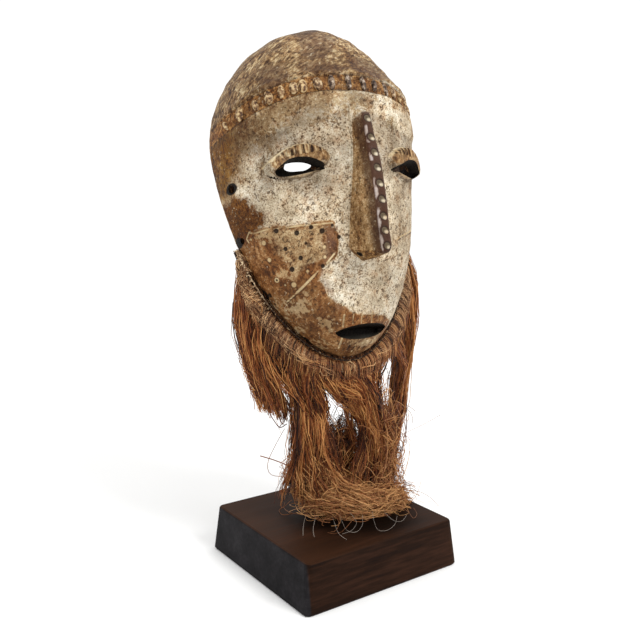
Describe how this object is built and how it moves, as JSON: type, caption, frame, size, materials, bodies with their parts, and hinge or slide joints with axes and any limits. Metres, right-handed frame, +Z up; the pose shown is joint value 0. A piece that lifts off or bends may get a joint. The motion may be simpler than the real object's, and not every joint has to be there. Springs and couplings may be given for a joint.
{
  "type": "carved face mask on a stand",
  "caption": "Oval carved wooden face mask with slit eyes, a long wedge nose and a hanging raffia beard, held by a bent steel rod on a dark wood block.",
  "frame": {"origin": "middle of the block's underside", "axes": "+Z up, the face looks towards -Y, +X to the viewer's right"},
  "size_m": [0.1552, 0.1268, 0.3724],
  "materials": {
    "mask": "matt, rubbed with pale clay over brown wood",
    "beard_cord": "matt plant-fibre cord",
    "beard": "matt to satin raffia fibre",
    "rod": "satin black",
    "block": "dark stained, satin"
  },
  "bodies": {
    "root": {"mask": "mask", "beard_cord": "beard_cord", "beard": "beard", "rod": "rod", "block": "block"}
  },
  "joints": []
}
